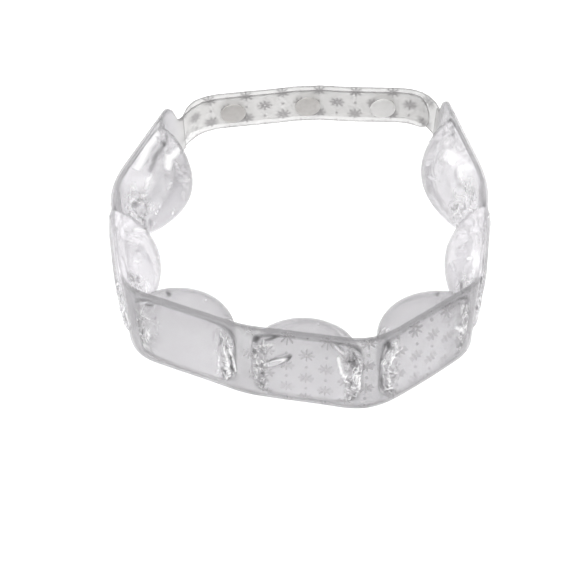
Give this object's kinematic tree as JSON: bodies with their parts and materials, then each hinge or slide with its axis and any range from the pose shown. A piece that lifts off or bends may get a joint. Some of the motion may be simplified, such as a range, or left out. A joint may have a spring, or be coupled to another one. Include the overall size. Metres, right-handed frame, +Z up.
{
  "type": "cooling neck wrap",
  "caption": "Cooling neck wrap: clear welded film holding domed gel pillows in a loop, closed behind the neck by an overlapped strap with round press snaps",
  "frame": {"origin": "on the surface that the loop stands on, under the middle of its box", "axes": "+Z up along the height of the strip, -Y towards the front of the neck, +X towards the pillows that the picture shows at the right; the strap lies at +Y behind the neck"},
  "size_m": [0.1678, 0.1636, 0.05],
  "materials": {
    "film": "clear soft plastic film, smooth and glossy, with a pale grey snowflake print",
    "gel": "clear set gel, faintly lilac grey",
    "snap": "moulded off-white plastic, satin"
  },
  "bodies": {
    "root": {"outer_film": "film", "inner_film": "film", "gel_pillow_1": "gel", "gel_pillow_2": "gel", "gel_pillow_3": "gel", "gel_pillow_4": "gel", "gel_pillow_5": "gel", "gel_pillow_6": "gel", "gel_pillow_7": "gel", "snap_1_inner_cap": "snap", "snap_1_socket": "snap", "snap_1_stud": "snap", "snap_1_outer_cap": "snap", "snap_2_inner_cap": "snap", "snap_2_socket": "snap", "snap_2_stud": "snap", "snap_2_outer_cap": "snap", "snap_3_inner_cap": "snap", "snap_3_socket": "snap", "snap_3_stud": "snap", "snap_3_outer_cap": "snap"}
  },
  "joints": []
}
